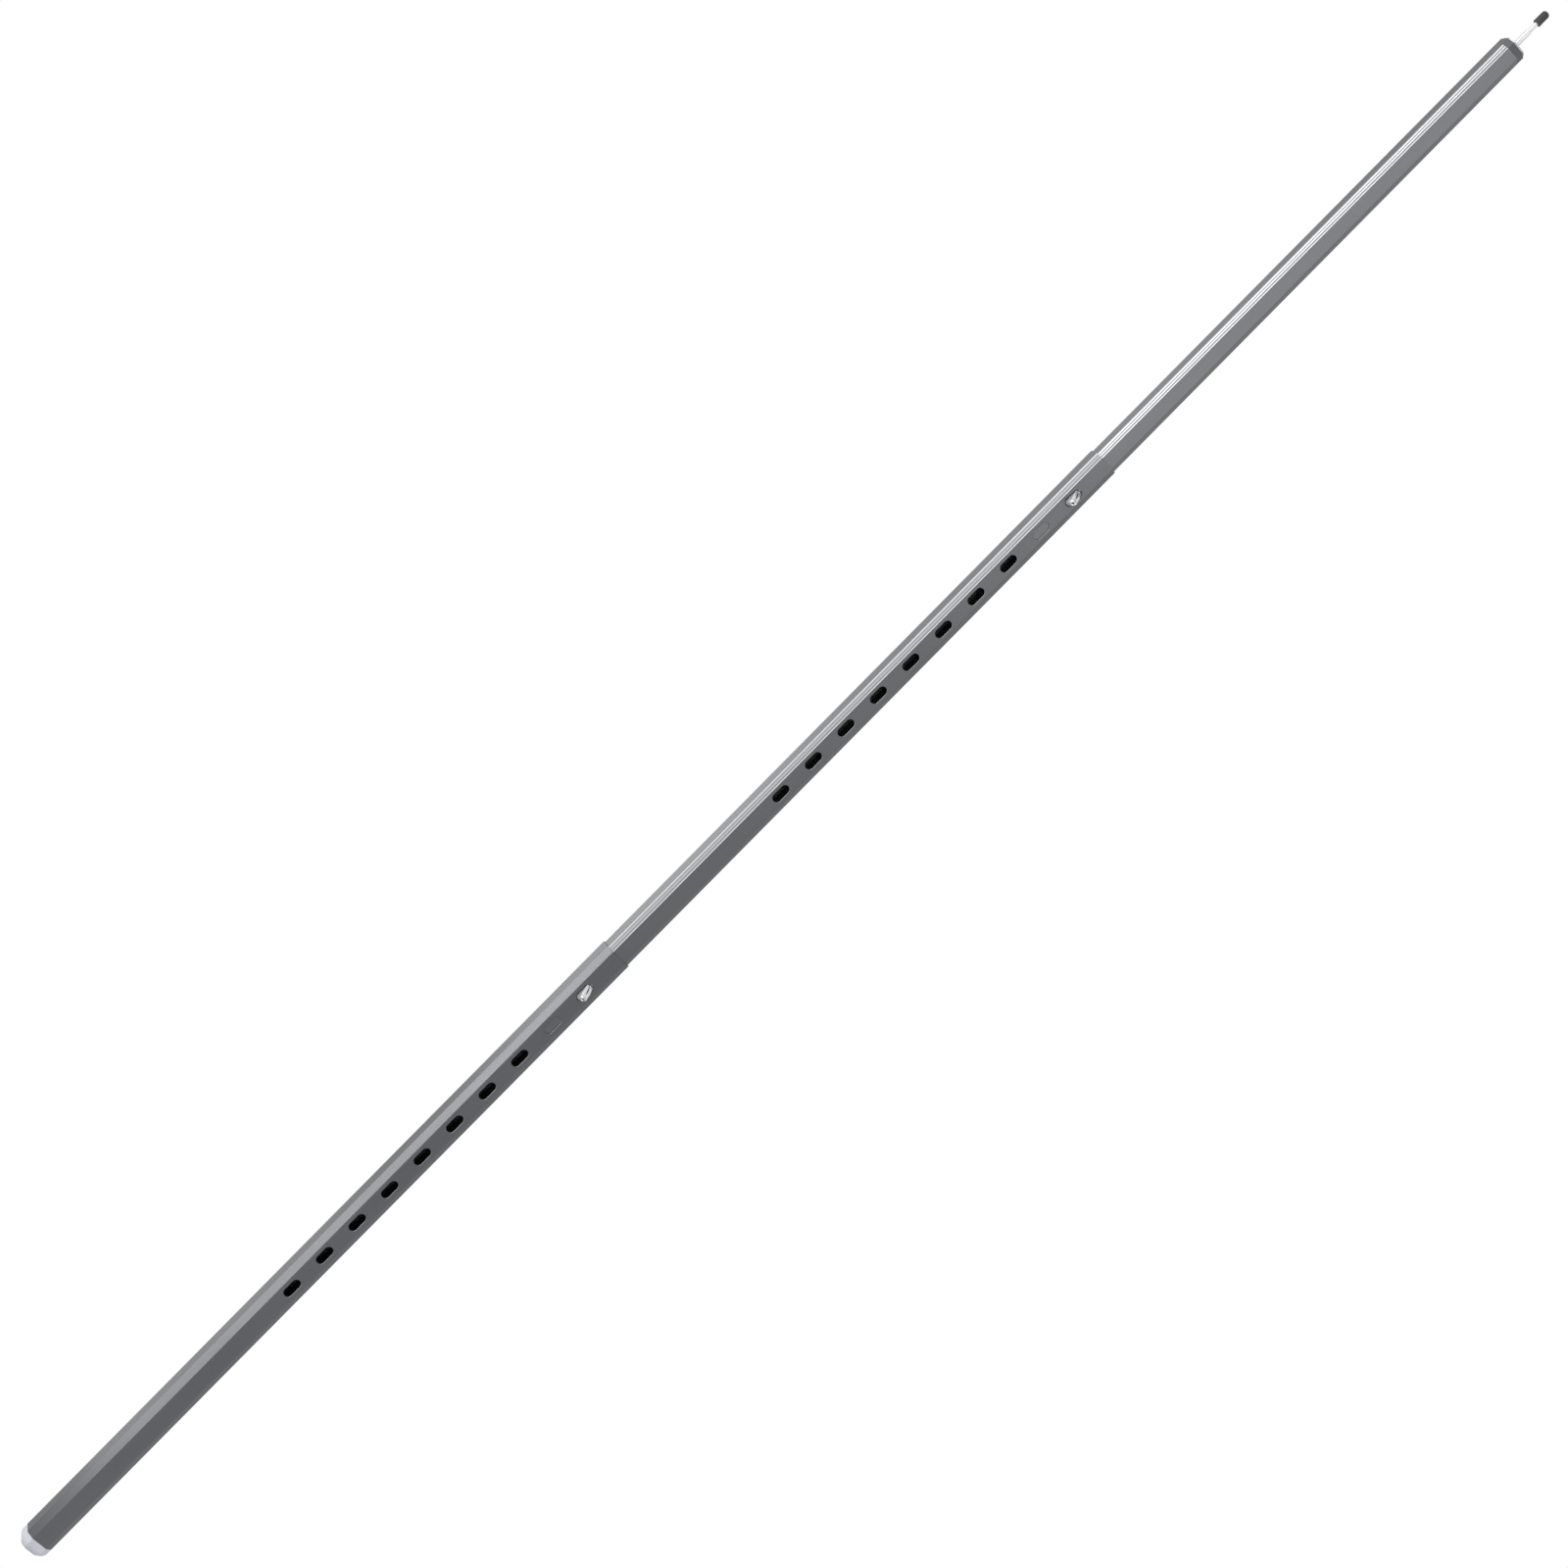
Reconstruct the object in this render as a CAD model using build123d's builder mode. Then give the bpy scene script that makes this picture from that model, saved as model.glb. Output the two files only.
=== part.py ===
from build123d import *
import math
import os

os.makedirs("parts", exist_ok=True)

# Three-section telescoping awning pole, drawn out to its full height.
# Frame: +Z up the pole, origin at the centre of the foot's flat underside, slots facing -Y.
# Every tube has the same chamfered-square section, each one set inside the next larger one.
# A sprung pawl carried by each inner tube drops into a row of slots in the tube around it.

# Section of the tubes
ACROSS = 27.3  # lower tube, across its wide flats
FLAT = 15.4  # width of a wide flat on the lower tube
FLAT_RATE = 0.6  # how much each half of a wide flat loses per millimetre of inset
WALL = 0.9
GAP = 0.2  # clear space between one tube's bore and the next tube's outside
STEP = WALL + GAP
CORNER_OUT = 1.0
CORNER_IN = 0.5
FIT_GAP = 0.05  # moulded inserts inside a tube

LOWER_INSET = 0.0
MIDDLE_INSET = STEP
UPPER_INSET = 2 * STEP

# Heights up the pole
FOOT_DOME = 12.5
LOWER_TOP = 725.5
MIDDLE_LOW = 623.5
MIDDLE_TOP = 1327.0
UPPER_LOW = 1225.0
UPPER_TOP = 1825.7

# Slots
PITCH = 40.0
SLOT_COUNT = 10
SLOT_LONG = 18.0
SLOT_WIDE = 8.0
SLOT_RIM = 0.3
LOWER_TOP_SLOT = LOWER_TOP - 42.0
MIDDLE_TOP_SLOT = MIDDLE_TOP - 42.0

# Foot
FOOT_FLAT = 16.0  # flat underside, across the wide flats
FOOT_ROUND = 8.5  # height of the rounding, below a straight side
FOOT_STEM = 24.0
FOOT_STEM_WALL = 2.5
FOOT_STEM_FLOOR = 6.0
FOOT_RIVET_Z = FOOT_DOME + 13.0
FOOT_RIVET_HEAD = 1.0
FOOT_RIVET_ROUND = 0.6

# End guides
GUIDE_LIP = 8.0
GUIDE_STEM = 20.0
GUIDE_WALL = 2.0

# Latches. Depths are measured inwards from the outer face of the slotted tube,
# heights from the centre of the slot that the pawl stands in.
PAWL_PROUD = 10.5
PAWL_WIDE = 6.8
PAWL_SHEET = 1.2
PAWL_CHEEK = 1.0
PAWL_LOW = -8.4
PAWL_HIGH = 8.3
NOSE_TOP_BACK = 1.3
NOSE_TOP_DOWN = 2.4
NOSE_TIP_DOWN = 3.8
NOSE_BLEND = 0.7
NOSE_DOME = 3.5
NOSE_SOLID = 2.4
NOSE_STRIP = 0.2  # what the nose keeps of its flat underside, measured up its rounding
HEEL_DEPTH = 3.4
WEB_TOP = 13.0
WEB_DEPTH = 1.0
RAMP_TOP = 8.5
RAMP_DEPTH = 2.3
PIVOT_DEPTH = 4.9
PIVOT_UP = 20.0
HUB_RADIUS = 2.8
PIN_RADIUS = 1.5
PIN_HALF = 7.1
RUNNING_GAP = 0.05
GROOVE_WIDE = 2.0
GROOVE_DEEP = 0.5
HOUSING_LOW = -14.0
HOUSING_HIGH = 27.0
POCKET_WIDE = 7.8
POCKET_LOW = -9.8
POCKET_HIGH = 24.0
POCKET_DEPTH = 17.0
SPRING_RADIUS = 2.05
SPRING_WIRE = 0.3
SPRING_PITCH = 0.75
SPRING_TURNS = 3.5
SPRING_LONG_LEG = 9.0
SPRING_SHORT_LEG = 3.4
RIVET_RADIUS = 1.6
RIVET_HEAD = 2.6
RIVET_HEAD_DEEP = 0.5
RIVET_LONG = 5.0
RIVET_UPS = (-11.0, 24.0)

# Tip
PLUG_HEAD = 7.3
PLUG_INSET = 0.05  # the plug's head inside the tube's outline
PLUG_ROUND = 0.9
PLUG_STEM = 14.0
PLATE = 1.7
PLATE_INSET = 1.3
TIP_SCREW_RADIUS = 3.0
NUT_ACROSS = 10.0
NUT_THICK = 5.0
THREAD_SHOWN = 2.0  # how far the threaded end runs past the nut
SHOULDER = 0.6
SHANK_RADIUS = 2.75
SHANK_LONG = 18.2
POINT_RADIUS = 2.05
POINT_LONG = 19.0
POINT_SHOWN = 9.6
CAP_LONG = 13.3
CAP_RADIUS = 3.75
CAP_TOP_RADIUS = 3.6
CAP_BORE_GAP = 0.04
CAP_ROUND = 2.6
CAP_LIP = 0.3
CAP_BORE_SPARE = 0.5


def half_across(inset):
    """Distance from the pole's axis to a wide flat."""
    return ACROSS / 2 - inset


def outline(inset, radius, height):
    """The chamfered-square section at a height, inset all round."""
    half = half_across(inset)
    flat = FLAT / 2 - inset * FLAT_RATE
    with BuildSketch(Plane.XY.offset(height)) as section:
        with BuildLine():
            Polyline(
                (half, -flat), (half, flat), (flat, half), (-flat, half),
                (-half, flat), (-half, -flat), (-flat, -half), (flat, -half),
                close=True,
            )
        make_face()
        fillet(section.vertices(), radius)
    return section.sketch


def prism(inset, radius, low, high, mode=Mode.ADD):
    """A straight length of the section between two heights."""
    extrude(outline(inset, radius, low), amount=high - low, mode=mode)


def cut_slots(inset, heights):
    """Obround slots through the wall that faces -Y, each with a chamfered outer rim."""
    # the plane looks inwards, so its own y runs down the pole
    outer = Plane(origin=(0, -half_across(inset), 0), x_dir=(1, 0, 0), z_dir=(0, 1, 0))
    places = [(0, -z) for z in heights]
    with BuildSketch(outer) as holes:
        with Locations(places):
            SlotOverall(SLOT_LONG, SLOT_WIDE, rotation=90)
    extrude(holes.sketch, amount=2 * WALL, mode=Mode.SUBTRACT)
    with BuildSketch(outer) as rims:
        with Locations(places):
            SlotOverall(SLOT_LONG + 2 * SLOT_RIM, SLOT_WIDE + 2 * SLOT_RIM, rotation=90)
    extrude(rims.sketch, amount=SLOT_RIM, taper=45, mode=Mode.SUBTRACT)


def keep(part, name):
    """Labels a finished piece and writes it out."""
    part.label = name
    export_step(part, f"parts/{name}.step")


def rivets(inset, slot):
    """Two flush rivets through the back wall of a tube into its latch housing."""
    back = half_across(inset)
    with BuildPart() as pair:
        with BuildSketch(Plane.XZ.offset(-back)):
            with Locations([(0, slot + up) for up in RIVET_UPS]):
                Circle(RIVET_RADIUS)
        extrude(amount=RIVET_LONG)
        with BuildSketch(Plane.XZ.offset(-back)):
            with Locations([(0, slot + up) for up in RIVET_UPS]):
                Circle(RIVET_HEAD)
        extrude(amount=RIVET_HEAD_DEEP)
    return pair.part


def pivot_pin(face, slot):
    """The cross pin that the pawl turns on."""
    with BuildPart() as pin:
        with BuildSketch(Plane.YZ):
            with Locations((-face + PIVOT_DEPTH, slot + PIVOT_UP)):
                Circle(PIN_RADIUS)
        extrude(amount=PIN_HALF, both=True)
    return pin.part


def latch_housing(inset, face, slot, pair):
    """Moulded block that fills the tube behind the pawl and carries its pin."""
    with BuildPart() as housing:
        prism(inset + WALL + FIT_GAP, CORNER_IN, slot + HOUSING_LOW, slot + HOUSING_HIGH)
        with BuildSketch(Plane.XZ.offset(face - POCKET_DEPTH)):
            with Locations((0, slot + (POCKET_LOW + POCKET_HIGH) / 2)):
                Rectangle(POCKET_WIDE, POCKET_HIGH - POCKET_LOW)
        extrude(amount=POCKET_DEPTH, mode=Mode.SUBTRACT)
        with BuildSketch(Plane.YZ):
            with Locations((-face + PIVOT_DEPTH, slot + PIVOT_UP)):
                Circle(PIN_RADIUS)
        extrude(amount=ACROSS, both=True, mode=Mode.SUBTRACT)
        add(pair, mode=Mode.SUBTRACT)
    return housing.part


def pawl(face, slot):
    """Pressed-steel pawl: a channel with a blunt nose below and a ramp that leads in above it."""
    front = -face
    hub = (front + PIVOT_DEPTH, slot + PIVOT_UP)
    swing = math.hypot(PIVOT_DEPTH, PIVOT_UP - PAWL_LOW)

    def underside(y):
        """Point on the arc that the nose's underside follows about the pivot."""
        return (y, hub[1] - math.sqrt(swing**2 - (y - hub[0]) ** 2))

    nose_top = (front - PAWL_PROUD + NOSE_TOP_BACK, slot - NOSE_TOP_DOWN)
    nose_mid = (front - PAWL_PROUD, slot - NOSE_TIP_DOWN)
    nose_low = underside(front - PAWL_PROUD + NOSE_BLEND)
    heel = underside(front + HEEL_DEPTH)
    ramp_end = (front + RAMP_DEPTH, slot + RAMP_TOP)
    with BuildPart() as body:
        with BuildSketch(Plane.YZ):
            with BuildLine():
                Line(ramp_end, nose_top)
                ThreePointArc(nose_top, nose_mid, nose_low)
                ThreePointArc(nose_low, underside(front - 2.0), heel)
                Polyline(
                    heel,
                    (hub[0] + HUB_RADIUS, hub[1] - 2.0),
                    (hub[0], hub[1]),
                    (hub[0] - HUB_RADIUS + 0.1, hub[1]),
                    ramp_end,
                )
            make_face()
            with Locations(hub):
                Circle(HUB_RADIUS)
        extrude(amount=PAWL_WIDE / 2, both=True)
        # the nose is domed in plan
        with BuildSketch(Plane.XY.offset(slot - PIVOT_UP)):
            with Locations((0, front - PAWL_PROUD + NOSE_DOME)):
                Ellipse(PAWL_WIDE / 2, NOSE_DOME)
            with Locations((0, front - PAWL_PROUD + NOSE_DOME + ACROSS / 2)):
                Rectangle(PAWL_WIDE, ACROSS)
        extrude(amount=3 * PIVOT_UP, mode=Mode.INTERSECT)
        # what stands in the slot is rounded in front view, to follow the slot's ends
        with BuildSketch(Plane.XZ.offset(face - RAMP_DEPTH + 0.3)):
            with Locations((0, slot)):
                Rectangle(2 * PAWL_WIDE, 4 * PIVOT_UP)
            with Locations((0, slot + (PAWL_LOW + PAWL_HIGH) / 2)):
                SlotOverall(PAWL_HIGH - PAWL_LOW, PAWL_WIDE, rotation=90, mode=Mode.SUBTRACT)
        extrude(amount=2 * PAWL_PROUD, mode=Mode.SUBTRACT)
        # the nose is rounded along the arc it swings on, so it clears the slot's round end
        middle = swing + NOSE_STRIP - PAWL_WIDE / 2
        down = Plane(origin=(0, hub[0], hub[1]), x_dir=(1, 0, 0), z_dir=(0, 1, 0))
        with BuildSketch(down):
            with Locations((0, middle / 2)):
                Rectangle(PAWL_WIDE, middle)
            with Locations((0, middle)):
                Circle(PAWL_WIDE / 2)
        revolve(axis=Axis((0, hub[0], hub[1]), (1, 0, 0)), mode=Mode.INTERSECT)
        # the channel is open towards the pole's axis, and its web stops short of the pin
        floor = slot + PAWL_LOW + PAWL_SHEET
        web = front + RAMP_DEPTH + PAWL_SHEET
        with BuildSketch(Plane.YZ):
            with BuildLine():
                Polyline(
                    (web, slot + RAMP_TOP + 0.4),
                    (nose_top[0] + NOSE_SOLID, nose_top[1] - 1.0),
                    (nose_mid[0] + NOSE_SOLID + 0.4, nose_mid[1]),
                    (nose_low[0] + NOSE_SOLID, nose_low[1] + 0.6),
                    (front + 0.5, floor),
                    (front + POCKET_DEPTH, floor),
                    (front + POCKET_DEPTH, slot + POCKET_HIGH),
                    (front + WEB_DEPTH, slot + POCKET_HIGH),
                    (front + WEB_DEPTH, slot + WEB_TOP),
                    (web, slot + WEB_TOP),
                    close=True,
                )
            make_face()
        extrude(amount=PAWL_WIDE / 2 - PAWL_CHEEK, both=True, mode=Mode.SUBTRACT)
        with BuildSketch(Plane.YZ):
            with Locations(hub):
                Circle(PIN_RADIUS + RUNNING_GAP)
        extrude(amount=PAWL_WIDE, both=True, mode=Mode.SUBTRACT)
        # a shallow groove runs down the ramp
        rise = (ramp_end[0] - nose_top[0], ramp_end[1] - nose_top[1])
        length = math.hypot(*rise)
        ramp = Plane(
            origin=(0, nose_top[0], nose_top[1]),
            x_dir=(1, 0, 0),
            z_dir=(0, -rise[1] / length, rise[0] / length),
        )
        with BuildSketch(ramp):
            with Locations((0, length / 2)):
                SlotOverall(length - 1.5, GROOVE_WIDE, rotation=90)
        extrude(amount=-GROOVE_DEEP, mode=Mode.SUBTRACT)
    return body.part


def torsion_spring(face, slot):
    """Coil round the pin between the pawl's cheeks, with a long leg on the housing."""
    long = SPRING_PITCH * SPRING_TURNS
    with BuildPart() as spring:
        with BuildLine():
            coil = Helix(SPRING_PITCH, long, SPRING_RADIUS)
        with BuildSketch(Plane(origin=coil @ 0, z_dir=coil % 0)):
            Circle(SPRING_WIRE)
        sweep(path=coil, is_frenet=True)
        with BuildSketch(Plane(origin=coil @ 0, z_dir=coil % 0)):
            Circle(SPRING_WIRE)
        extrude(amount=-SPRING_LONG_LEG)
        with BuildSketch(Plane(origin=coil @ 1, z_dir=coil % 1)):
            Circle(SPRING_WIRE)
        extrude(amount=SPRING_SHORT_LEG)
    # the coil is wound about Z, then laid along the pin with both legs hanging down
    return Pos(-long / 2, -face + PIVOT_DEPTH, slot + PIVOT_UP) * Rot(0, 90, 0) * Rot(0, 0, 90) * spring.part


def latch(prefix, inset, face, slot):
    """Writes one complete latch and returns what has to be cut from its tube."""
    pair = rivets(inset, slot)
    keep(pair, f"{prefix}_latch_rivets")
    keep(pivot_pin(face, slot), f"{prefix}_pivot_pin")
    keep(latch_housing(inset, face, slot, pair), f"{prefix}_latch_housing")
    keep(pawl(face, slot), f"{prefix}_pawl")
    keep(torsion_spring(face, slot), f"{prefix}_pawl_spring")
    return pair


def guide(inset, low):
    """Moulded bush in the lower end of a sliding tube."""
    with BuildPart() as bush:
        prism(inset, CORNER_OUT, low - GUIDE_LIP, low)
        prism(inset + WALL + FIT_GAP, CORNER_IN, low, low + GUIDE_STEM)
        prism(inset + WALL + GUIDE_WALL, CORNER_IN, low - GUIDE_LIP, low + GUIDE_STEM, Mode.SUBTRACT)
    return bush.part


def foot_dome(across, flat, angle):
    """Rounds the underside with an arc seen square to one pair of faces."""
    drop = (across - flat) / 2
    radius = (drop**2 + FOOT_ROUND**2) / (2 * drop)
    lean = math.asin(FOOT_ROUND / radius) / 2
    side = (across / 2 - radius + radius * math.cos(lean), FOOT_ROUND - radius * math.sin(lean))
    with BuildSketch(Plane.XZ.rotated((0, 0, angle))) as side_view:
        with BuildLine():
            Line((flat / 2, 0), (-flat / 2, 0))
            ThreePointArc((-flat / 2, 0), (-side[0], side[1]), (-across / 2, FOOT_ROUND))
            Polyline(
                (-across / 2, FOOT_ROUND),
                (-across / 2, FOOT_DOME + FOOT_STEM),
                (across / 2, FOOT_DOME + FOOT_STEM),
                (across / 2, FOOT_ROUND),
            )
            ThreePointArc((across / 2, FOOT_ROUND), side, (flat / 2, 0))
        make_face()
    extrude(side_view.sketch, amount=ACROSS, both=True, mode=Mode.INTERSECT)


def screw_hole(low, high):
    """A round hole down the pole's axis for the spike's threaded end."""
    with BuildSketch(Plane.XY.offset(low)) as hole:
        Circle(TIP_SCREW_RADIUS)
    extrude(hole.sketch, amount=high - low, mode=Mode.SUBTRACT)


# --- latches: the lower one is carried by the middle tube, the upper one by the upper tube ---
middle_rivets = latch("middle", MIDDLE_INSET, half_across(LOWER_INSET), LOWER_TOP_SLOT)
upper_rivets = latch("upper", UPPER_INSET, half_across(MIDDLE_INSET), MIDDLE_TOP_SLOT)

# --- foot ---
with BuildPart() as foot_rivet:
    with BuildSketch(Plane.XZ.offset(-half_across(LOWER_INSET) + RIVET_LONG)):
        with Locations((0, FOOT_RIVET_Z)):
            Circle(RIVET_RADIUS)
    extrude(amount=-RIVET_LONG)
    with BuildSketch(Plane.XZ.offset(-half_across(LOWER_INSET))):
        with Locations((0, FOOT_RIVET_Z)):
            Circle(RIVET_HEAD)
    extrude(amount=-FOOT_RIVET_HEAD)
    fillet(faces().sort_by(Axis.Y)[-1].edges(), FOOT_RIVET_ROUND)
keep(foot_rivet.part, "foot_rivet")

with BuildPart() as foot_plug:
    prism(LOWER_INSET, CORNER_OUT, 0, FOOT_DOME)
    prism(WALL + FIT_GAP, CORNER_IN, FOOT_DOME, FOOT_DOME + FOOT_STEM)
    diagonal = (ACROSS + FLAT) / math.sqrt(2)
    for turn in (0, 90):
        foot_dome(ACROSS, FOOT_FLAT, turn)
    for turn in (45, 135):
        foot_dome(diagonal, FOOT_FLAT * diagonal / ACROSS, turn)
    prism(WALL + FOOT_STEM_WALL, CORNER_IN, FOOT_DOME + FOOT_STEM_FLOOR, FOOT_DOME + FOOT_STEM, Mode.SUBTRACT)
    add(foot_rivet.part, mode=Mode.SUBTRACT)
keep(foot_plug.part, "foot_plug")

# --- tubes ---
with BuildPart() as lower_tube:
    prism(LOWER_INSET, CORNER_OUT, FOOT_DOME, LOWER_TOP)
    prism(LOWER_INSET + WALL, CORNER_IN, FOOT_DOME, LOWER_TOP, Mode.SUBTRACT)
    cut_slots(LOWER_INSET, [LOWER_TOP_SLOT - PITCH * k for k in range(SLOT_COUNT)])
    add(foot_rivet.part, mode=Mode.SUBTRACT)
keep(lower_tube.part, "lower_tube")

with BuildPart() as middle_tube:
    prism(MIDDLE_INSET, CORNER_OUT, MIDDLE_LOW, MIDDLE_TOP)
    prism(MIDDLE_INSET + WALL, CORNER_IN, MIDDLE_LOW, MIDDLE_TOP, Mode.SUBTRACT)
    cut_slots(MIDDLE_INSET, [MIDDLE_TOP_SLOT - PITCH * k for k in range(SLOT_COUNT)])
    cut_slots(MIDDLE_INSET, [LOWER_TOP_SLOT])
    add(middle_rivets, mode=Mode.SUBTRACT)
keep(middle_tube.part, "middle_tube")

with BuildPart() as upper_tube:
    prism(UPPER_INSET, CORNER_OUT, UPPER_LOW, UPPER_TOP)
    prism(UPPER_INSET + WALL, CORNER_IN, UPPER_LOW, UPPER_TOP, Mode.SUBTRACT)
    cut_slots(UPPER_INSET, [MIDDLE_TOP_SLOT])
    add(upper_rivets, mode=Mode.SUBTRACT)
keep(upper_tube.part, "upper_tube")

# --- guides ---
keep(guide(MIDDLE_INSET, MIDDLE_LOW), "middle_guide")
keep(guide(UPPER_INSET, UPPER_LOW), "upper_guide")

# --- tip ---
plug_top = UPPER_TOP + PLUG_HEAD
tip_z = plug_top + PLATE
stem_low = UPPER_TOP - PLUG_STEM
nut_low = stem_low - NUT_THICK
with BuildPart() as tip_plug:
    prism(UPPER_INSET + PLUG_INSET, CORNER_OUT, UPPER_TOP, plug_top)
    fillet(faces().sort_by(Axis.Z)[-1].edges(), PLUG_ROUND)
    prism(UPPER_INSET + WALL + FIT_GAP, CORNER_IN, stem_low, UPPER_TOP)
    screw_hole(stem_low, plug_top)
keep(tip_plug.part, "tip_plug")

with BuildPart() as tip_plate:
    prism(UPPER_INSET + PLATE_INSET, CORNER_OUT, plug_top, tip_z)
    screw_hole(plug_top, tip_z)
keep(tip_plate.part, "tip_plate")

with BuildPart() as spike_nut:
    with BuildSketch(Plane.XY.offset(nut_low)):
        RegularPolygon(NUT_ACROSS / 2, 6, major_radius=False)
    extrude(amount=NUT_THICK)
    screw_hole(nut_low, stem_low)
keep(spike_nut.part, "spike_nut")

with BuildPart() as spike_pin:
    with BuildSketch(Plane.XZ):
        with BuildLine():
            Polyline(
                (0, nut_low - THREAD_SHOWN),
                (TIP_SCREW_RADIUS, nut_low - THREAD_SHOWN),
                (TIP_SCREW_RADIUS, tip_z),
                (SHANK_RADIUS, tip_z),
                (SHANK_RADIUS, tip_z + SHANK_LONG),
                (POINT_RADIUS, tip_z + SHANK_LONG + SHOULDER),
                (POINT_RADIUS, tip_z + SHANK_LONG + POINT_LONG),
                (0, tip_z + SHANK_LONG + POINT_LONG),
                close=True,
            )
        make_face()
    revolve(axis=Axis.Z)
keep(spike_pin.part, "spike_pin")

cap_low = tip_z + SHANK_LONG + POINT_SHOWN
cap_bore = POINT_LONG - POINT_SHOWN + CAP_BORE_SPARE
with BuildPart() as tip_cap:
    with BuildSketch(Plane.XY.offset(cap_low)):
        Circle(CAP_RADIUS)
    with BuildSketch(Plane.XY.offset(cap_low + CAP_LONG)):
        Circle(CAP_TOP_RADIUS)
    loft()
    fillet(edges().filter_by(GeomType.CIRCLE).sort_by(Axis.Z)[-1], CAP_ROUND)
    fillet(edges().filter_by(GeomType.CIRCLE).sort_by(Axis.Z)[0], CAP_LIP)
    with BuildSketch(Plane.XY.offset(cap_low)):
        Circle(POINT_RADIUS + CAP_BORE_GAP)
    extrude(amount=cap_bore, mode=Mode.SUBTRACT)
keep(tip_cap.part, "tip_cap")
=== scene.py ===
import math

import bmesh
import bpy
from mathutils import Matrix, Vector


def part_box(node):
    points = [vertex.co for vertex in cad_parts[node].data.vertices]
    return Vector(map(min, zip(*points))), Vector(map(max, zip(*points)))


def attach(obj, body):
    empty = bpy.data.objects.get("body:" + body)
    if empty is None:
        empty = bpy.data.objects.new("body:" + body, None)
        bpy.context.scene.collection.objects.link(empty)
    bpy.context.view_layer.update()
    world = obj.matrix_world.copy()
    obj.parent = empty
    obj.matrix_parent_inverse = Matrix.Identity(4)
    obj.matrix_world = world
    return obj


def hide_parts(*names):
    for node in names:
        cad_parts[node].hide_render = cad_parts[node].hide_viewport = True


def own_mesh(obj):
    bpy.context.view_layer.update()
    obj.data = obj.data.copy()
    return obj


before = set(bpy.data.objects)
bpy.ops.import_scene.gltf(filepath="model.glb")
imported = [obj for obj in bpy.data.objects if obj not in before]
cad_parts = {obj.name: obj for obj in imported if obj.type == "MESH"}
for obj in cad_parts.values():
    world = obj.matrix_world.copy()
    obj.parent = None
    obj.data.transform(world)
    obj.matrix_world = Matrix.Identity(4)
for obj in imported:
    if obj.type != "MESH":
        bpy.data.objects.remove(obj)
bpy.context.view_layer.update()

MM = 0.001


# ---------------------------------------------------------------- node helpers
def new_material(name):
    """A node material with a Principled shader, and its tree and shader."""
    material = bpy.data.materials.new(name)
    material.use_nodes = True
    tree = material.node_tree
    return material, tree, tree.nodes["Principled BSDF"]


def node(tree, kind, **settings):
    """A node of this kind: an input's name sets the input, anything else sets the node."""
    made = tree.nodes.new(kind)
    for key, value in settings.items():
        if key in made.inputs:
            made.inputs[key].default_value = value
        else:
            setattr(made, key, value)
    return made


def stretched(tree, scale):
    """Object coordinates in metres, scaled along each axis."""
    place = node(tree, "ShaderNodeTexCoord")
    mapping = node(tree, "ShaderNodeMapping")
    mapping.inputs["Scale"].default_value = scale
    tree.links.new(place.outputs["Object"], mapping.inputs["Vector"])
    return mapping.outputs["Vector"]


def noise(tree, scale, detail=3.0, roughness=0.5):
    """A noise factor on stretched object coordinates."""
    made = node(tree, "ShaderNodeTexNoise", Scale=1.0, Detail=detail, Roughness=roughness)
    tree.links.new(stretched(tree, scale), made.inputs["Vector"])
    return made.outputs["Fac"]


def maths(tree, operation, first, second=None):
    """One step of arithmetic on sockets or plain numbers."""
    made = node(tree, "ShaderNodeMath", operation=operation)
    for socket, value in zip(made.inputs, (first, second)):
        if isinstance(value, bpy.types.NodeSocket):
            tree.links.new(value, socket)
        elif value is not None:
            socket.default_value = value
    return made.outputs["Value"]


def remap(tree, value, low, high, to_low, to_high):
    """The value moved from one range to another, and clamped."""
    made = node(tree, "ShaderNodeMapRange")
    made.inputs["From Min"].default_value = low
    made.inputs["From Max"].default_value = high
    made.inputs["To Min"].default_value = to_low
    made.inputs["To Max"].default_value = to_high
    tree.links.new(value, made.inputs["Value"])
    return made.outputs["Result"]


def mix_colour(tree, factor, first, second):
    """A colour between two, which are colours or sockets."""
    made = node(tree, "ShaderNodeMix", data_type="RGBA")
    tree.links.new(factor, made.inputs["Factor"])
    for socket, colour in ((made.inputs[6], first), (made.inputs[7], second)):
        if isinstance(colour, bpy.types.NodeSocket):
            tree.links.new(colour, socket)
        else:
            socket.default_value = (*colour, 1.0)
    return made.outputs[2]


def bump(tree, height, distance, strength, under=None):
    """A bump of this height field, over another normal if there is one."""
    made = node(tree, "ShaderNodeBump", Distance=distance, Strength=strength)
    tree.links.new(height, made.inputs["Height"])
    if under is not None:
        tree.links.new(under, made.inputs["Normal"])
    return made.outputs["Normal"]


def vary_roughness(tree, shader, grain, low, high):
    """Roughness between two values, following a noise that seldom leaves 0.3 to 0.7."""
    tree.links.new(remap(tree, grain, 0.3, 0.7, low, high), shader.inputs["Roughness"])


def shade(colour, share, lift=0.0):
    """A colour made lighter or darker."""
    return tuple(min(1.0, c * share + lift) for c in colour)


# ----------------------------------------------------------------------- masks
EDGE_STARTS = 0.98  # cosine between the softened and the true normal where an edge begins
EDGE_IS_FULL = 0.65
LINE_CORE = 0.4  # share of a line's half width that is at full strength
BLOB_CORE = 0.6  # share of a blob's radius that is at full strength


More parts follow.
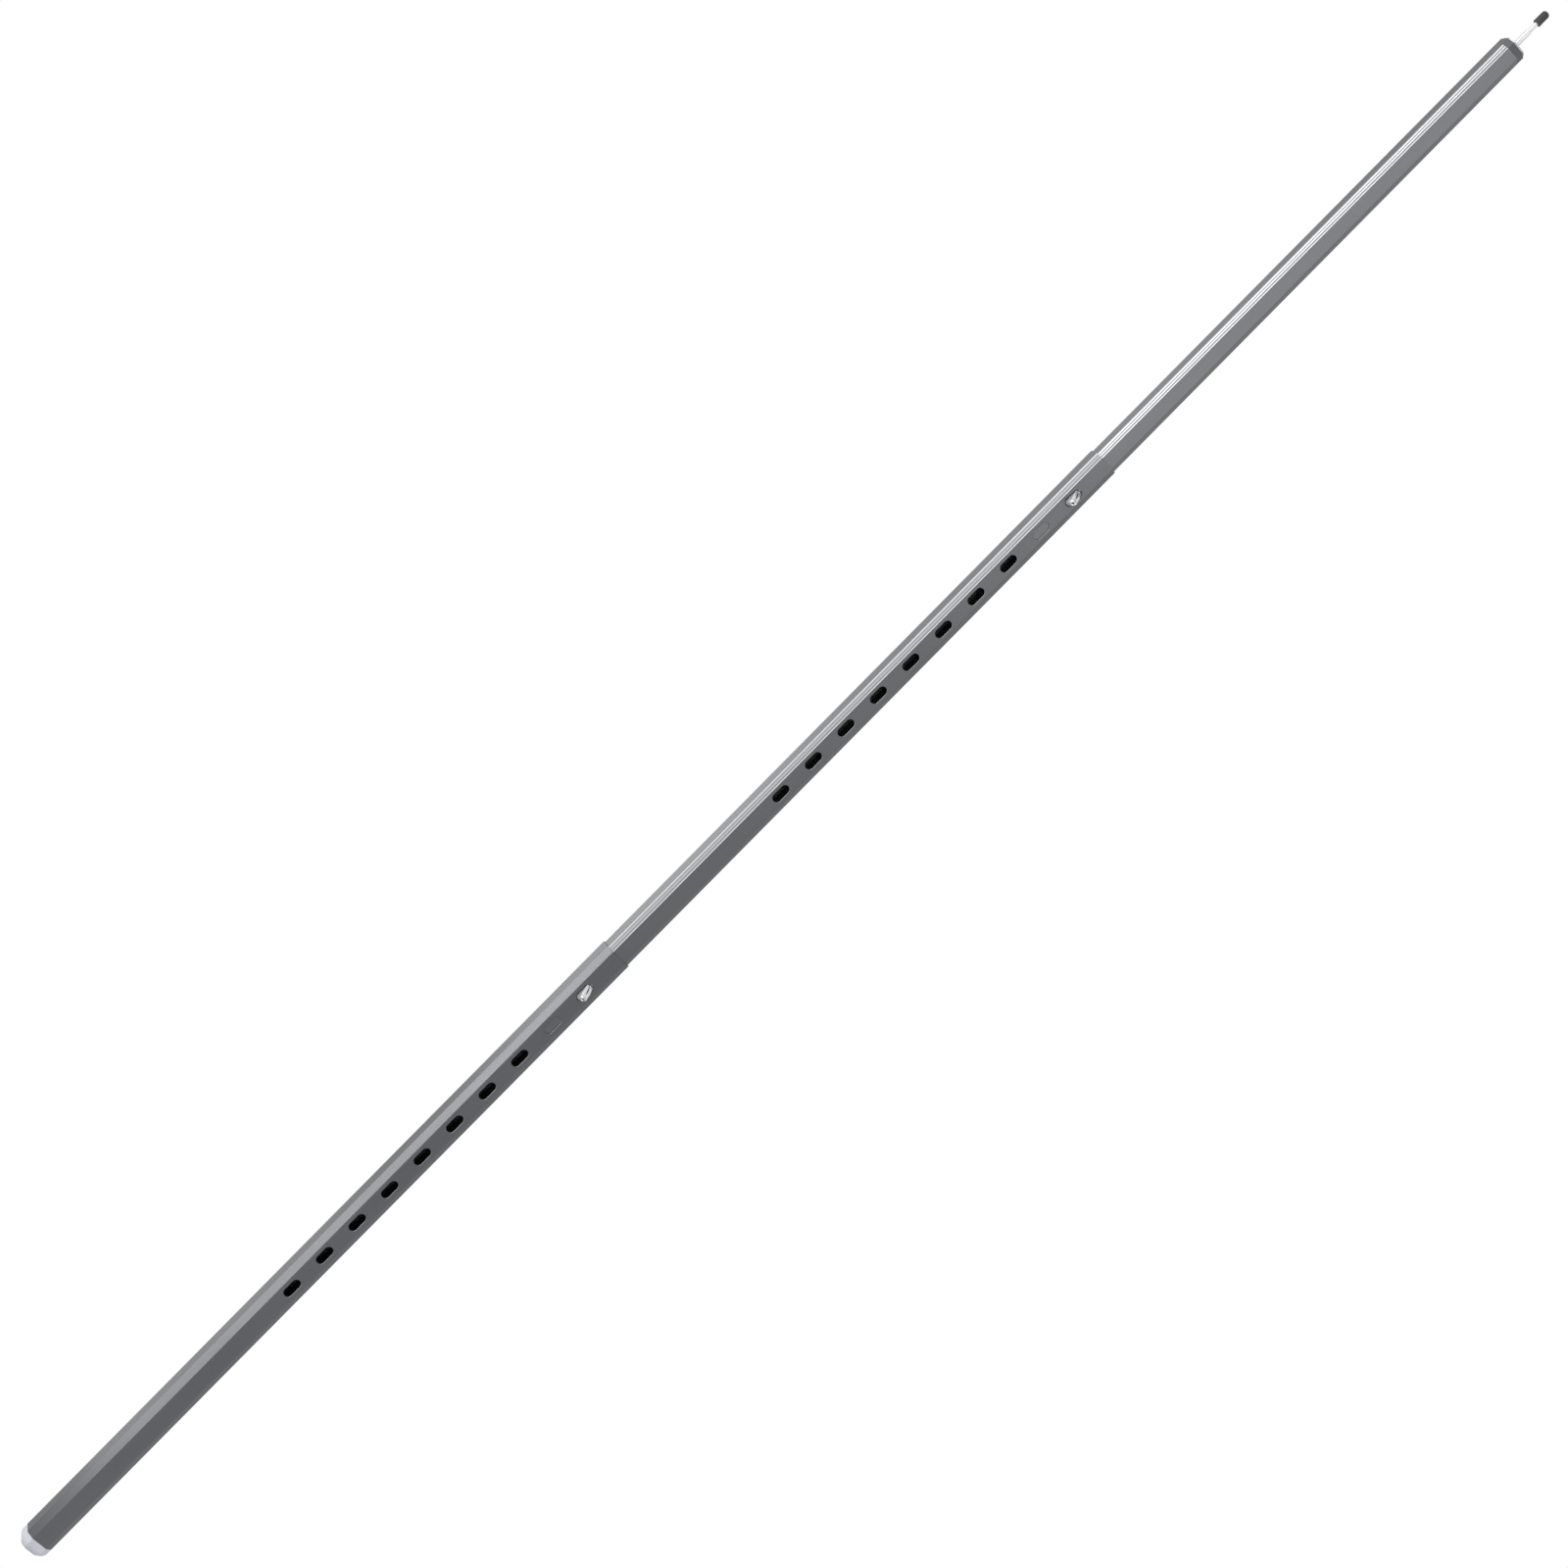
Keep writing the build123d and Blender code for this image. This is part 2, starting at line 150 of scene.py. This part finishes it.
def edge_mask(tree, radius):
    """1 on convex and concave edges, 0 on open faces."""
    soft = node(tree, "ShaderNodeBevel", samples=6, Radius=radius)
    flat = node(tree, "ShaderNodeNewGeometry")
    dot = node(tree, "ShaderNodeVectorMath", operation="DOT_PRODUCT")
    tree.links.new(soft.outputs["Normal"], dot.inputs[0])
    tree.links.new(flat.outputs["Normal"], dot.inputs[1])
    return remap(tree, dot.outputs["Value"], EDGE_STARTS, EDGE_IS_FULL, 0.0, 1.0)


def object_axes(tree):
    """Object coordinates in metres, one output for each axis."""
    place = node(tree, "ShaderNodeTexCoord")
    parts = node(tree, "ShaderNodeSeparateXYZ")
    tree.links.new(place.outputs["Object"], parts.inputs["Vector"])
    return parts.outputs


def corner_place(tree):
    """Distance across a tube's narrow corner flat, in metres from its middle."""
    axes = object_axes(tree)
    sizes = [maths(tree, "ABSOLUTE", axes[axis]) for axis in ("X", "Y")]
    return maths(tree, "MULTIPLY", maths(tree, "SUBTRACT", *sizes), math.sqrt(0.5))


def left_mask(tree):
    """1 on the pole's left side, 0 on its right."""
    return remap(tree, object_axes(tree)["X"], -1.0 * MM, 0.0, 1.0, 0.0)


def line_mask(tree, across, middle, half_width, strength=1.0):
    """A line along the pole, this strong in its middle and fading at its sides."""
    away = maths(tree, "ABSOLUTE", maths(tree, "SUBTRACT", across, middle))
    return remap(tree, away, half_width, half_width * LINE_CORE, 0.0, strength)


def blob_mask(tree, centre, halves, shade_share):
    """A soft ellipsoid round a centre, from depth in its middle to 0 at its surface."""
    place = node(tree, "ShaderNodeTexCoord")
    away = node(tree, "ShaderNodeVectorMath", operation="SUBTRACT")
    away.inputs[1].default_value = centre
    tree.links.new(place.outputs["Object"], away.inputs[0])
    unit = node(tree, "ShaderNodeVectorMath", operation="DIVIDE")
    unit.inputs[1].default_value = halves
    tree.links.new(away.outputs["Vector"], unit.inputs[0])
    reach = node(tree, "ShaderNodeVectorMath", operation="LENGTH")
    tree.links.new(unit.outputs["Vector"], reach.inputs[0])
    return remap(tree, reach.outputs["Value"], 1.0, BLOB_CORE, 0.0, shade_share)


# ------------------------------------------------------------------- materials
PAINTED_SHEEN_HALF = 3.7 * MM  # half widths of the painted sheen and the painted reflection lines on a narrow flat
PAINTED_DARK_LINE_HALF = 0.65 * MM
PAINTED_HIGHLIGHT_LINE_HALF = 0.6 * MM
PAINTED_LINE_SHADE = 0.55
PAINTED_LINE_HIGHLIGHT = (0.62, 0.625, 0.64)
WORN_ALLOY_AND_EDGE_HIGHLIGHT = (0.6, 0.6, 0.61)
# painted shade: the colour of dark blobs painted into a pawl's dimple and groove
PAINTED_SHADE_BLACK = (0.02, 0.02, 0.022)


def anodised(name, colour, rough=0.36, corner=None, painted_dark_lines=(), painted_highlight_lines=()):
    """Satin grey anodised extrusion: die lines along the pole, faint clouding, rims paler from
    wear and a painted edge highlight.

    Where corner is given, the narrow flats on the pole's left, lit side get it as a painted sheen,
    with painted dark reflection lines and painted highlight lines along them, each a distance
    across the flat and a strength."""
    material, tree, shader = new_material(name)
    die_lines = noise(tree, (900.0, 900.0, 1.2), detail=4.0, roughness=0.6)
    clouds = noise(tree, (30.0, 30.0, 6.0), detail=5.0, roughness=0.55)
    speckle = noise(tree, (2500.0, 2500.0, 2500.0), detail=2.0)
    light = shade(colour, 1.07)
    tone = mix_colour(
        tree, remap(tree, clouds, 0.35, 0.65, 0.0, 1.0), shade(colour, 0.93), light
    )
    lined = mix_colour(tree, remap(tree, die_lines, 0.3, 0.7, 0.0, 0.5), tone, light)
    # painted sheen and painted reflection lines, dark and bright, only on the lit left side's
    # narrow flats
    if corner:
        across = corner_place(tree)
        left = left_mask(tree)
        flat = line_mask(tree, across, 0.0, PAINTED_SHEEN_HALF)
        lined = mix_colour(tree, maths(tree, "MULTIPLY", flat, left), lined, corner)
        marks = None
        for middle, shade_share in painted_dark_lines:
            one = line_mask(tree, across, middle, PAINTED_DARK_LINE_HALF, shade_share)
            marks = one if marks is None else maths(tree, "MAXIMUM", marks, one)
        marks = maths(tree, "MULTIPLY", marks, left)
        lined = mix_colour(tree, marks, lined, shade(colour, PAINTED_LINE_SHADE))
        for middle, strength in painted_highlight_lines:
            one = line_mask(tree, across, middle, PAINTED_HIGHLIGHT_LINE_HALF, strength)
            one = maths(tree, "MULTIPLY", one, left)
            lined = mix_colour(tree, one, lined, PAINTED_LINE_HIGHLIGHT)
    # paler edges: wear, and a painted edge highlight
    worn_and_highlit = remap(tree, edge_mask(tree, 0.25 * MM), 0.0, 1.0, 0.0, 0.2)
    tree.links.new(mix_colour(tree, worn_and_highlit, lined, WORN_ALLOY_AND_EDGE_HIGHLIGHT), shader.inputs["Base Color"])
    shader.inputs["Metallic"].default_value = 1.0
    vary_roughness(tree, shader, speckle, rough - 0.03, rough + 0.04)
    fine = bump(tree, die_lines, 0.02 * MM, 0.35)
    tree.links.new(bump(tree, speckle, 0.01 * MM, 0.25, fine), shader.inputs["Normal"])
    return material


def moulded(name, colour, rough=0.42, rubbed_and_highlit_edge=None):
    """Moulded plastic or paint: a fine texture, slight mottling and paler edges from rubbing, with
    a painted highlight where a pale edge colour is given.
    """
    material, tree, shader = new_material(name)
    grit = noise(tree, (1800.0, 1800.0, 1800.0))
    mottle = noise(tree, (60.0, 60.0, 60.0), detail=4.0)
    tone = mix_colour(
        tree,
        remap(tree, mottle, 0.35, 0.65, 0.0, 1.0),
        shade(colour, 0.94),
        shade(colour, 1.04),
    )
    rubbed_and_highlit_edge = rubbed_and_highlit_edge or shade(colour, 1.12, lift=0.02)
    # paler edges: rubbing, and where a pale edge colour is given a painted highlight
    edges = remap(tree, edge_mask(tree, 0.5 * MM), 0.0, 1.0, 0.0, 0.5)
    tree.links.new(mix_colour(tree, edges, tone, rubbed_and_highlit_edge), shader.inputs["Base Color"])
    vary_roughness(tree, shader, grit, rough - 0.06, rough + 0.08)
    tree.links.new(bump(tree, grit, 0.015 * MM, 0.5), shader.inputs["Normal"])
    return material


def polished(name, colour, rough, turned=False, painted_shade=(), metal=1.0):
    """Bright metal with hairline polishing marks, round the axis if it is turned.

    Each painted_shade entry is a centre, the half sizes of a blob of painted shade round it, and
    how dark it is."""
    material, tree, shader = new_material(name)
    scale = (60.0, 60.0, 3000.0) if turned else (2600.0, 400.0, 400.0)
    marks = noise(tree, scale, roughness=0.6)
    smear = noise(tree, (120.0, 120.0, 120.0))
    smeared = remap(tree, smear, 0.35, 0.7, 0.0, 1.0)
    tone = mix_colour(tree, smeared, colour, shade(colour, 0.86))
    for centre, halves, shade_share in painted_shade:
        # painted shade: darker blobs where recesses fall into shade
        tone = mix_colour(tree, blob_mask(tree, centre, halves, shade_share), tone, PAINTED_SHADE_BLACK)
    tree.links.new(tone, shader.inputs["Base Color"])
    shader.inputs["Metallic"].default_value = metal
    vary_roughness(tree, shader, marks, rough - 0.05, rough + 0.08)
    tree.links.new(bump(tree, marks, 0.01 * MM, 0.3), shader.inputs["Normal"])
    return material


def rubber(name, colour):
    """Matt black rubber with a fine grit and a dusty bloom."""
    material, tree, shader = new_material(name)
    grit = noise(tree, (1500.0, 1500.0, 1500.0), detail=4.0)
    bloom = noise(tree, (200.0, 200.0, 200.0), detail=4.0)
    dusty = shade(colour, 1.7, lift=0.01)
    tone = mix_colour(tree, remap(tree, bloom, 0.4, 0.7, 0.0, 0.6), colour, dusty)
    tree.links.new(tone, shader.inputs["Base Color"])
    vary_roughness(tree, shader, grit, 0.55, 0.75)
    tree.links.new(bump(tree, grit, 0.03 * MM, 0.5), shader.inputs["Normal"])
    return material


def pivot(node_name):
    """Centre of a cross pin."""
    low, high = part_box(node_name)
    return (low + high) / 2


PIVOT_UP = 20.0 * MM  # from the centre of a pawl's slot to its pin
NOSE_DOWN = 5.0 * MM  # from the centre of the slot down to the dimple in the pawl's nose
DIMPLE_OUT = 9.0 * MM  # out from the slotted face
DIMPLE_PAINTED_SHADE = ((1.6 * MM, 2.4 * MM, 1.6 * MM), 0.93)  # half sizes and darkness of the painted shade in the nose's dimple
GROOVE_OUT = 4.2 * MM
GROOVE_UP = 3.2 * MM
# painted shade along the ramp's groove: half sizes and darkness
GROOVE_PAINTED_SHADE = ((0.8 * MM, 7.0 * MM, 4.8 * MM), 0.85)


def pawl_finish(name, pin, face):
    """Polished steel with painted shade in the nose's dimple and along the ramp's groove."""
    slot_z = pivot(pin).z - PIVOT_UP
    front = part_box(face)[0].y
    dimple = (0.0, front - DIMPLE_OUT, slot_z - NOSE_DOWN)
    groove = (0.0, front - GROOVE_OUT, slot_z + GROOVE_UP)
    painted_shade = ((dimple, *DIMPLE_PAINTED_SHADE), (groove, *GROOVE_PAINTED_SHADE))
    return polished(name, (0.86, 0.86, 0.87), rough=0.17, painted_shade=painted_shade, metal=0.75)


LOWER_ALLOY = anodised("anodised_lower", (0.150, 0.153, 0.162))
# the middle and upper tubes carry a painted sheen with painted reflection lines on their left
# narrow flats
MIDDLE_ALLOY = anodised(
    "anodised_middle",
    (0.160, 0.163, 0.170),
    corner=(0.190, 0.193, 0.200),
    painted_dark_lines=((1.1 * MM, 0.6), (-1.8 * MM, 0.95)),
    painted_highlight_lines=((2.6 * MM, 0.3), (-3.2 * MM, 0.25)),
)
UPPER_ALLOY = anodised(
    "anodised_upper",
    (0.180, 0.183, 0.190),
    corner=(0.235, 0.238, 0.245),
    painted_dark_lines=((0.75 * MM, 0.9), (-1.5 * MM, 0.95)),
    painted_highlight_lines=((1.9 * MM, 0.6), (-0.3 * MM, 0.6), (-3.1 * MM, 0.5)),
)
FOOT_PLASTIC = moulded("foot_plastic", (0.60, 0.62, 0.665))
# the plug's pale edge colour is a painted highlight along its corners, as well as rubbing
PLUG_GREY = moulded("plug_grey", (0.085, 0.087, 0.092), rough=0.45, rubbed_and_highlit_edge=(0.45, 0.46, 0.48))
NYLON = moulded("black_nylon", (0.05, 0.05, 0.053), rough=0.5)
PLATE_ALLOY = polished("plate_alloy", (0.50, 0.505, 0.52), rough=0.4)
BARE_ALLOY = polished("bare_alloy", (0.80, 0.80, 0.82), rough=0.28)
GROUND_STEEL = polished("ground_steel", (0.62, 0.62, 0.64), rough=0.3)
SPIKE_STEEL = polished("spike_steel", (0.88, 0.885, 0.90), rough=0.34, turned=True)
CAP_RUBBER = rubber("cap_rubber", (0.035, 0.035, 0.037))
MIDDLE_PAWL_STEEL = pawl_finish("middle_pawl_steel", "middle_pivot_pin", "lower_tube")
UPPER_PAWL_STEEL = pawl_finish("upper_pawl_steel", "upper_pivot_pin", "middle_tube")

FINISH = {
    "lower_tube": LOWER_ALLOY,
    "middle_tube": MIDDLE_ALLOY,
    "upper_tube": UPPER_ALLOY,
    "foot_plug": FOOT_PLASTIC,
    "foot_rivet": BARE_ALLOY,
    "middle_latch_rivets": BARE_ALLOY,
    "upper_latch_rivets": BARE_ALLOY,
    "tip_plug": PLUG_GREY,
    "tip_plate": PLATE_ALLOY,
    "middle_guide": NYLON,
    "upper_guide": NYLON,
    "middle_latch_housing": NYLON,
    "upper_latch_housing": NYLON,
    "middle_pivot_pin": GROUND_STEEL,
    "upper_pivot_pin": GROUND_STEEL,
    "middle_pawl_spring": GROUND_STEEL,
    "upper_pawl_spring": GROUND_STEEL,
    "spike_nut": GROUND_STEEL,
    "spike_pin": SPIKE_STEEL,
    "tip_cap": CAP_RUBBER,
    "middle_pawl": MIDDLE_PAWL_STEEL,
    "upper_pawl": UPPER_PAWL_STEEL,
}
for name, material in FINISH.items():
    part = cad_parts[name]
    part.data.materials.clear()
    part.data.materials.append(material)


# ----------------------------------------------------------------------- curves
def smoothstep(low, high, value):
    """0 at low and 1 at high, easing in and out."""
    share = min(1.0, max(0.0, (value - low) / (high - low)))
    return share * share * (3.0 - 2.0 * share)


def arc_through(first, middle, last, count):
    """Points along the circle through three points, without the last."""
    (ax, ay), (bx, by), (cx, cy) = first, middle, last
    d = 2 * (ax * (by - cy) + bx * (cy - ay) + cx * (ay - by))
    a2, b2, c2 = ax**2 + ay**2, bx**2 + by**2, cx**2 + cy**2
    ux = (a2 * (by - cy) + b2 * (cy - ay) + c2 * (ay - by)) / d
    uy = (a2 * (cx - bx) + b2 * (ax - cx) + c2 * (bx - ax)) / d
    radius = math.hypot(ax - ux, ay - uy)
    start = math.atan2(ay - uy, ax - ux)
    sweep = math.atan2(cy - uy, cx - ux) - start
    sweep = (sweep + math.pi) % (2 * math.pi) - math.pi
    steps = [start + sweep * i / count for i in range(count)]
    return [(ux + radius * math.cos(a), uy + radius * math.sin(a)) for a in steps]


def straight(first, last, count):
    """Points along a line, without the last."""
    (ax, ay), (bx, by) = first, last
    return [(ax + (bx - ax) * i / count, ay + (by - ay) * i / count) for i in range(count)]


# ------------------------------------------------------- the pawl's side view
# Millimetres. A pair is how far out from the slotted face, and up from the slot's centre.
HUB = (-4.9, 20.0)
HUB_RADIUS = 2.8
HUB_BACK = (HUB[0] - HUB_RADIUS, HUB[1])
HUB_TOP = (HUB[0], HUB[1] + HUB_RADIUS)
HUB_FRONT = (HUB[0] + HUB_RADIUS, HUB[1])
BACK_END = (HUB[0] - HUB_RADIUS, HUB[1] - 2.0)
WEB_TOP = (-2.3, 14.0)
RAMP_END = (-2.3, 8.5)
NOSE_TOP = (9.2, -2.4)
NOSE_TIP = (10.5, -3.8)
SWING = math.hypot(4.9, 28.4)  # the underside follows this radius about the pin


def underside(out):
    """Point on the arc the underside follows about the pin."""
    return (out, HUB[1] - math.sqrt(SWING**2 - (out - HUB[0]) ** 2))


NOSE_LOW = underside(9.8)
UNDER_MID = underside(2.0)
HEEL = underside(-3.4)

BORE_RADIUS = 1.55
BORE_SIDES = 32
BORE_HALF = 5.0  # past both cheeks
HOLLOW_HALF = 2.3
HOLLOW = [
    (-3.5, 8.9), (5.9, -3.4), (7.1, -4.2), (6.2, -5.2), (-0.5, -7.2),
    (-12.0, -7.2), (-12.0, 24.0), (-1.0, 24.0), (-1.0, 14.0), (-3.5, 14.0),
]


def pawl_profile():
    """Side view of the pawl: ramp, nose, underside, back, and round the hub."""
    points = straight(WEB_TOP, RAMP_END, 4)
    points += straight(RAMP_END, NOSE_TOP, 60)
    points += arc_through(NOSE_TOP, NOSE_TIP, NOSE_LOW, 24)
    points += arc_through(NOSE_LOW, UNDER_MID, HEEL, 44)
    points += straight(HEEL, BACK_END, 8)
    points += arc_through(HUB_BACK, HUB_TOP, HUB_FRONT, 14)
    points += straight(HUB_FRONT, WEB_TOP, 4)
    return points


# --------------------------------------------------------- shaping the pawl
# Millimetres, out and up as above. Each pair of ends runs from where a shape starts to
# where it is full.
HALF_WIDE = 3.4
ACROSS_STEPS = 64
SHAPED_PAST = -2.4  # only the ramp and the nose are shaped, further out than this
SHAPED_UNDER = 9.0
CROWN_FULL = 0.5
RAMP_CROWN = 1.0  # times the drop at the edge of a half circle
NOSE_CROWN = 2.3  # added to it over the nose
NOSE_ENDS = (3.0, -3.0)
GROOVE_DEEP = 0.8
GROOVE_WIDE = 0.75
GROOVE_LOW_ENDS = (-3.0, -1.4)
GROOVE_HIGH_ENDS = (7.4, 6.2)
DIMPLE_DEEP = 1.5
DIMPLE_ENDS = (1.9, 0.8)
DIMPLE_OUT_ENDS = (5.5, 8.0)
SWING_SLACK = 0.2
SHARP_ANGLE = math.radians(35)


def shaped(out, up, turn):
    """A profile point moved for its place across the pawl, an angle from -90 to 90 degrees."""
    across = HALF_WIDE * math.sin(turn)
    edge = 1.0 - math.cos(turn)
    if out > SHAPED_PAST and up < SHAPED_UNDER:
        nose = smoothstep(*NOSE_ENDS, up)
        crown = RAMP_CROWN + NOSE_CROWN * nose
        out -= edge * crown * smoothstep(SHAPED_PAST, CROWN_FULL, out)
        groove = smoothstep(*GROOVE_LOW_ENDS, up) * smoothstep(*GROOVE_HIGH_ENDS, up)
        out -= GROOVE_DEEP * math.exp(-((across / GROOVE_WIDE) ** 2)) * groove
        pit = math.hypot(across, up + NOSE_DOWN / MM)
        pit = smoothstep(*DIMPLE_ENDS, pit)
        out -= DIMPLE_DEEP * pit * smoothstep(*DIMPLE_OUT_ENDS, out)
    # rounded along its swing, to clear the slot's round end
    reach = math.hypot(out - HUB[0], up - HUB[1])
    limit = SWING + SWING_SLACK - HALF_WIDE * edge
    if up < 0.0 and reach > limit:
        out = HUB[0] + (out - HUB[0]) * limit / reach
        up = HUB[1] + (up - HUB[1]) * limit / reach
    return (across, out, up)


def solid(name, rings):
    """A closed mesh through rings of points, capped at both ends."""
    made = bmesh.new()
    layers = [[made.verts.new(p) for p in ring] for ring in rings]
    count = len(layers[0])
    for first, second in zip(layers, layers[1:]):
        for i in range(count):
            j = (i + 1) % count
            made.faces.new((first[i], first[j], second[j], second[i]))
    made.faces.new(layers[0][::-1])
    made.faces.new(layers[-1])
    bmesh.ops.recalc_face_normals(made, faces=made.faces)
    mesh = bpy.data.meshes.new(name)
    made.to_mesh(mesh)
    made.free()
    thing = bpy.data.objects.new(name, mesh)
    bpy.context.collection.objects.link(thing)
    return thing


def across_prism(name, outline, half, place):
    """A prism across the pawl, from an outline in its side view."""
    rings = [[place(x, out, up) for out, up in outline] for x in (-half, half)]
    return solid(name, rings)


def cut(thing, tool):
    """Takes one solid out of another and drops the tool."""
    modifier = thing.modifiers.new("cut", "BOOLEAN")
    modifier.operation = "DIFFERENCE"
    modifier.solver = "EXACT"
    modifier.object = tool
    seen = thing.evaluated_get(bpy.context.evaluated_depsgraph_get())
    result = bpy.data.meshes.new_from_object(seen)
    thing.modifiers.clear()
    thing.data = result
    bpy.data.objects.remove(tool, do_unlink=True)


def pawl(name, node_name, body, pin, face, finish):
    """A polished pawl: grooved ramp, rounded nose with a dimple, hollow behind, hub on a pin."""
    middle = pivot(pin)
    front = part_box(face)[0].y
    slot_z = middle.z - PIVOT_UP

    def place(x, out, up):
        return Vector((x * MM, front - out * MM, slot_z + up * MM))

    profile = pawl_profile()
    turns = [
        math.radians(-90 + 180 * i / ACROSS_STEPS) for i in range(ACROSS_STEPS + 1)
    ]
    thing = solid(name, [[place(*shaped(out, up, turn)) for out, up in profile] for turn in turns])
    cut(thing, across_prism("hollow", HOLLOW, HOLLOW_HALF, place))
    angles = [math.tau * i / BORE_SIDES for i in range(BORE_SIDES)]
    bore = [
        (HUB[0] + BORE_RADIUS * math.cos(a), HUB[1] + BORE_RADIUS * math.sin(a))
        for a in angles
    ]
    cut(thing, across_prism("bore", bore, BORE_HALF, place))
    for polygon in thing.data.polygons:
        polygon.use_smooth = True
    thing.data.set_sharp_from_angle(angle=SHARP_ANGLE)
    thing.data.materials.clear()
    thing.data.materials.append(finish)
    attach(thing, body)
    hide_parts(node_name)
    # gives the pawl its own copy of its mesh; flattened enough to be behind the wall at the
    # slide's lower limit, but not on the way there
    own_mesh(thing)


pawl(
    "middle_pawl_pressing", "middle_pawl", "middle_latch", "middle_pivot_pin",
    "lower_tube", MIDDLE_PAWL_STEEL,
)
pawl(
    "upper_pawl_pressing", "upper_pawl", "upper_latch", "upper_pivot_pin",
    "middle_tube", UPPER_PAWL_STEEL,
)

# ---------------------------------------------------------------------- camera
POLE_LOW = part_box("foot_plug")[0]
CAMERA_AZIMUTH = math.radians(-19.0)
CAMERA_DISTANCE = 2.65
POLE_TILT = math.radians(45.3)  # how far the pole leans from the picture's level
AIM_HEIGHT = 0.9328
AIM_SIDE = -0.0001


def level_direction(angle):
    """Level direction at this angle round the pole from the camera, in degrees.

    A negative angle is towards the camera's left."""
    turn = CAMERA_AZIMUTH + math.radians(angle)
    return Vector((math.sin(turn), -math.cos(turn), 0.0))


back = level_direction(0.0)
right = Vector((math.cos(CAMERA_AZIMUTH), math.sin(CAMERA_AZIMUTH), 0.0))
up = Vector((0.0, 0.0, 1.0))
picture_x = up * math.cos(POLE_TILT) + right * math.sin(POLE_TILT)
picture_y = up * math.sin(POLE_TILT) - right * math.cos(POLE_TILT)
aim = up * (AIM_HEIGHT + POLE_LOW.z) + right * AIM_SIDE
eye = aim + back * CAMERA_DISTANCE

camera_data = bpy.data.cameras.new("camera")
camera_data.lens = 70.0
camera_data.sensor_width = 36.0
camera = bpy.data.objects.new("camera", camera_data)
bpy.context.collection.objects.link(camera)
pose = Matrix((picture_x, picture_y, back)).transposed().to_4x4()
pose.translation = eye
camera.matrix_world = pose
bpy.context.scene.camera = camera

# ----------------------------------------------------------------------- stage
FLOOR_SIZE = 40.0
ROOM_BRIGHTNESS = 0.75
WHITE = (1.0, 1.0, 1.0, 1.0)


def show_camera(tree, lighting, shown, output):
    """Lights the pole with one shader and shows the camera another."""
    sight = node(tree, "ShaderNodeLightPath")
    choose = node(tree, "ShaderNodeMixShader")
    tree.links.new(sight.outputs["Is Camera Ray"], choose.inputs["Fac"])
    tree.links.new(lighting, choose.inputs[1])
    tree.links.new(shown, choose.inputs[2])
    tree.links.new(choose.outputs["Shader"], tree.nodes[output].inputs["Surface"])


floor_mesh = bpy.data.meshes.new("floor")
half = FLOOR_SIZE / 2
floor_mesh.from_pydata(
    [(-half, -half, 0), (half, -half, 0), (half, half, 0), (-half, half, 0)],
    [],
    [(0, 1, 2, 3)],
)
floor = bpy.data.objects.new("floor", floor_mesh)
bpy.context.collection.objects.link(floor)
floor_material, floor_tree, floor_shader = new_material("pale_floor")
floor_shader.inputs["Base Color"].default_value = (0.85, 0.85, 0.86, 1.0)
floor_shader.inputs["Roughness"].default_value = 0.9
floor_shader.inputs["Specular IOR Level"].default_value = 0.1
paper = node(floor_tree, "ShaderNodeEmission", Color=WHITE, Strength=1.0)
show_camera(
    floor_tree, floor_shader.outputs["BSDF"], paper.outputs["Emission"], "Material Output"
)
floor_mesh.materials.append(floor_material)

world = bpy.data.worlds.new("studio")
bpy.context.scene.world = world
world.use_nodes = True
sky_tree = world.node_tree
room = sky_tree.nodes["Background"]
room.inputs["Color"].default_value = WHITE
room.inputs["Strength"].default_value = ROOM_BRIGHTNESS
backdrop = node(sky_tree, "ShaderNodeBackground", Color=WHITE, Strength=1.0)
show_camera(
    sky_tree, room.outputs["Background"], backdrop.outputs["Background"], "World Output"
)
bpy.context.scene.view_settings.view_transform = "Standard"

# ---------------------------------------------------------------------- lights
PANEL_DISTANCE = 2.4
FLOOR_PANEL_UP = 0.004


def soft_light(name, width, length, radiance):
    """A rectangular light of this radiance, which the camera doesn't see."""
    light_data = bpy.data.lights.new(name, "AREA")
    light_data.shape = "RECTANGLE"
    light_data.size = width
    light_data.size_y = length
    light_data.energy = radiance * math.pi * width * length
    light = bpy.data.objects.new(name, light_data)
    light.visible_camera = False
    bpy.context.collection.objects.link(light)
    return light


def panel(name, angle, low, high, width, radiance):
    """An upright soft panel between two heights, facing the pole."""
    outwards = level_direction(angle)
    light = soft_light(name, width, high - low, radiance)
    light.location = outwards * PANEL_DISTANCE + up * (low + high) / 2
    light.rotation_euler = outwards.to_track_quat("Z", "Y").to_euler()


def floor_panel(name, angle, near, far, width, radiance):
    """A soft panel lying at floor level beside the pole, shining upwards."""
    outwards = level_direction(angle)
    light = soft_light(name, width, far - near, radiance)
    turned = Matrix((up.cross(outwards), -outwards, -up)).transposed().to_4x4()
    turned.translation = outwards * (near + far) / 2 + up * FLOOR_PANEL_UP
    light.matrix_world = turned


panel("left_low", -52.0, 0.05, 0.75, 1.2, 3.3)
panel("left_middle", -52.0, 0.75, 1.30, 1.2, 2.3)
panel("left_high", -52.0, 1.30, 2.75, 1.2, 3.6)
panel("side_low", -97.0, 0.30, 1.15, 1.3, 1.3)
panel("back_left_low", -142.0, 0.30, 1.00, 1.2, 1.1)
panel("back_left_high", -142.0, 1.00, 2.20, 1.2, 0.3)
panel("right_high", 38.0, 1.40, 3.00, 1.0, 0.9)
floor_panel("floor_left", -52.0, 0.25, 1.9, 1.2, 1.4)
floor_panel("floor_back_left", -142.0, 0.25, 1.9, 1.2, 0.3)
